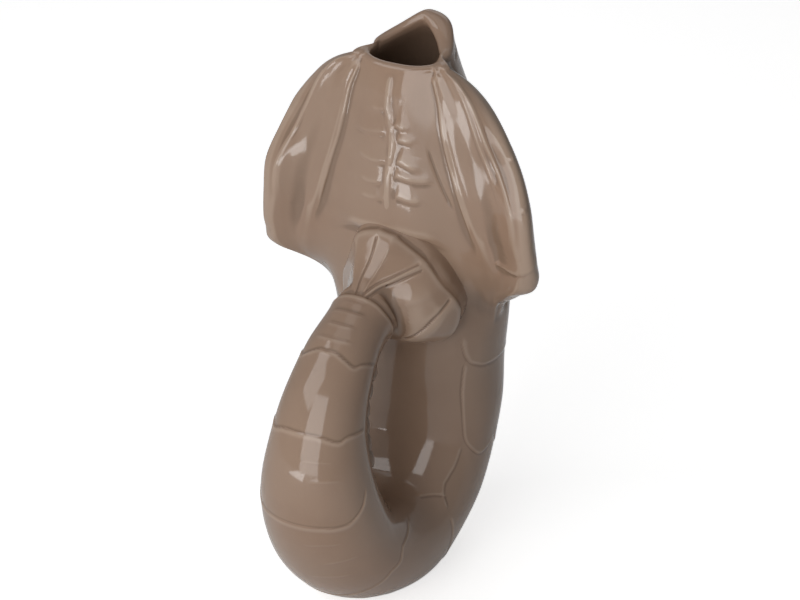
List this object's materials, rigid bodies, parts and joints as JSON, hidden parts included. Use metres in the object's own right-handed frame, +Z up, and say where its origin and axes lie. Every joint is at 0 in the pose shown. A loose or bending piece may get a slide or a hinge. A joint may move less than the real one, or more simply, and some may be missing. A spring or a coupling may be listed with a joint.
{
  "type": "lobster vase",
  "caption": "Hollow glazed ceramic vase in the form of a lobster, open at the top between its claws and standing on the bend of a tail that loops up in front to the belly.",
  "frame": {"origin": "middle of the flat foot's footprint, on the table plane", "axes": "+Z up to the mouth, -Y towards the tail and the belly, +X to the right as seen from the front"},
  "size_m": [0.1662, 0.1901, 0.3128],
  "materials": {
    "glaze": "glossy"
  },
  "bodies": {
    "root": {"carapace": "glaze", "chest_plate": "glaze", "claw_left_finger": "glaze", "claw_left_palm": "glaze", "claw_left_wrist": "glaze", "claw_right_finger": "glaze", "claw_right_palm": "glaze", "claw_right_wrist": "glaze", "foot": "glaze", "somite_1": "glaze", "somite_2": "glaze", "somite_3": "glaze", "somite_4": "glaze", "somite_5": "glaze", "somite_6": "glaze", "swimmerets_left": "glaze", "swimmerets_right": "glaze", "tail_root": "glaze", "telson": "glaze", "uropod_left_inner": "glaze", "uropod_left_outer": "glaze", "uropod_right_inner": "glaze", "uropod_right_outer": "glaze"}
  },
  "joints": []
}
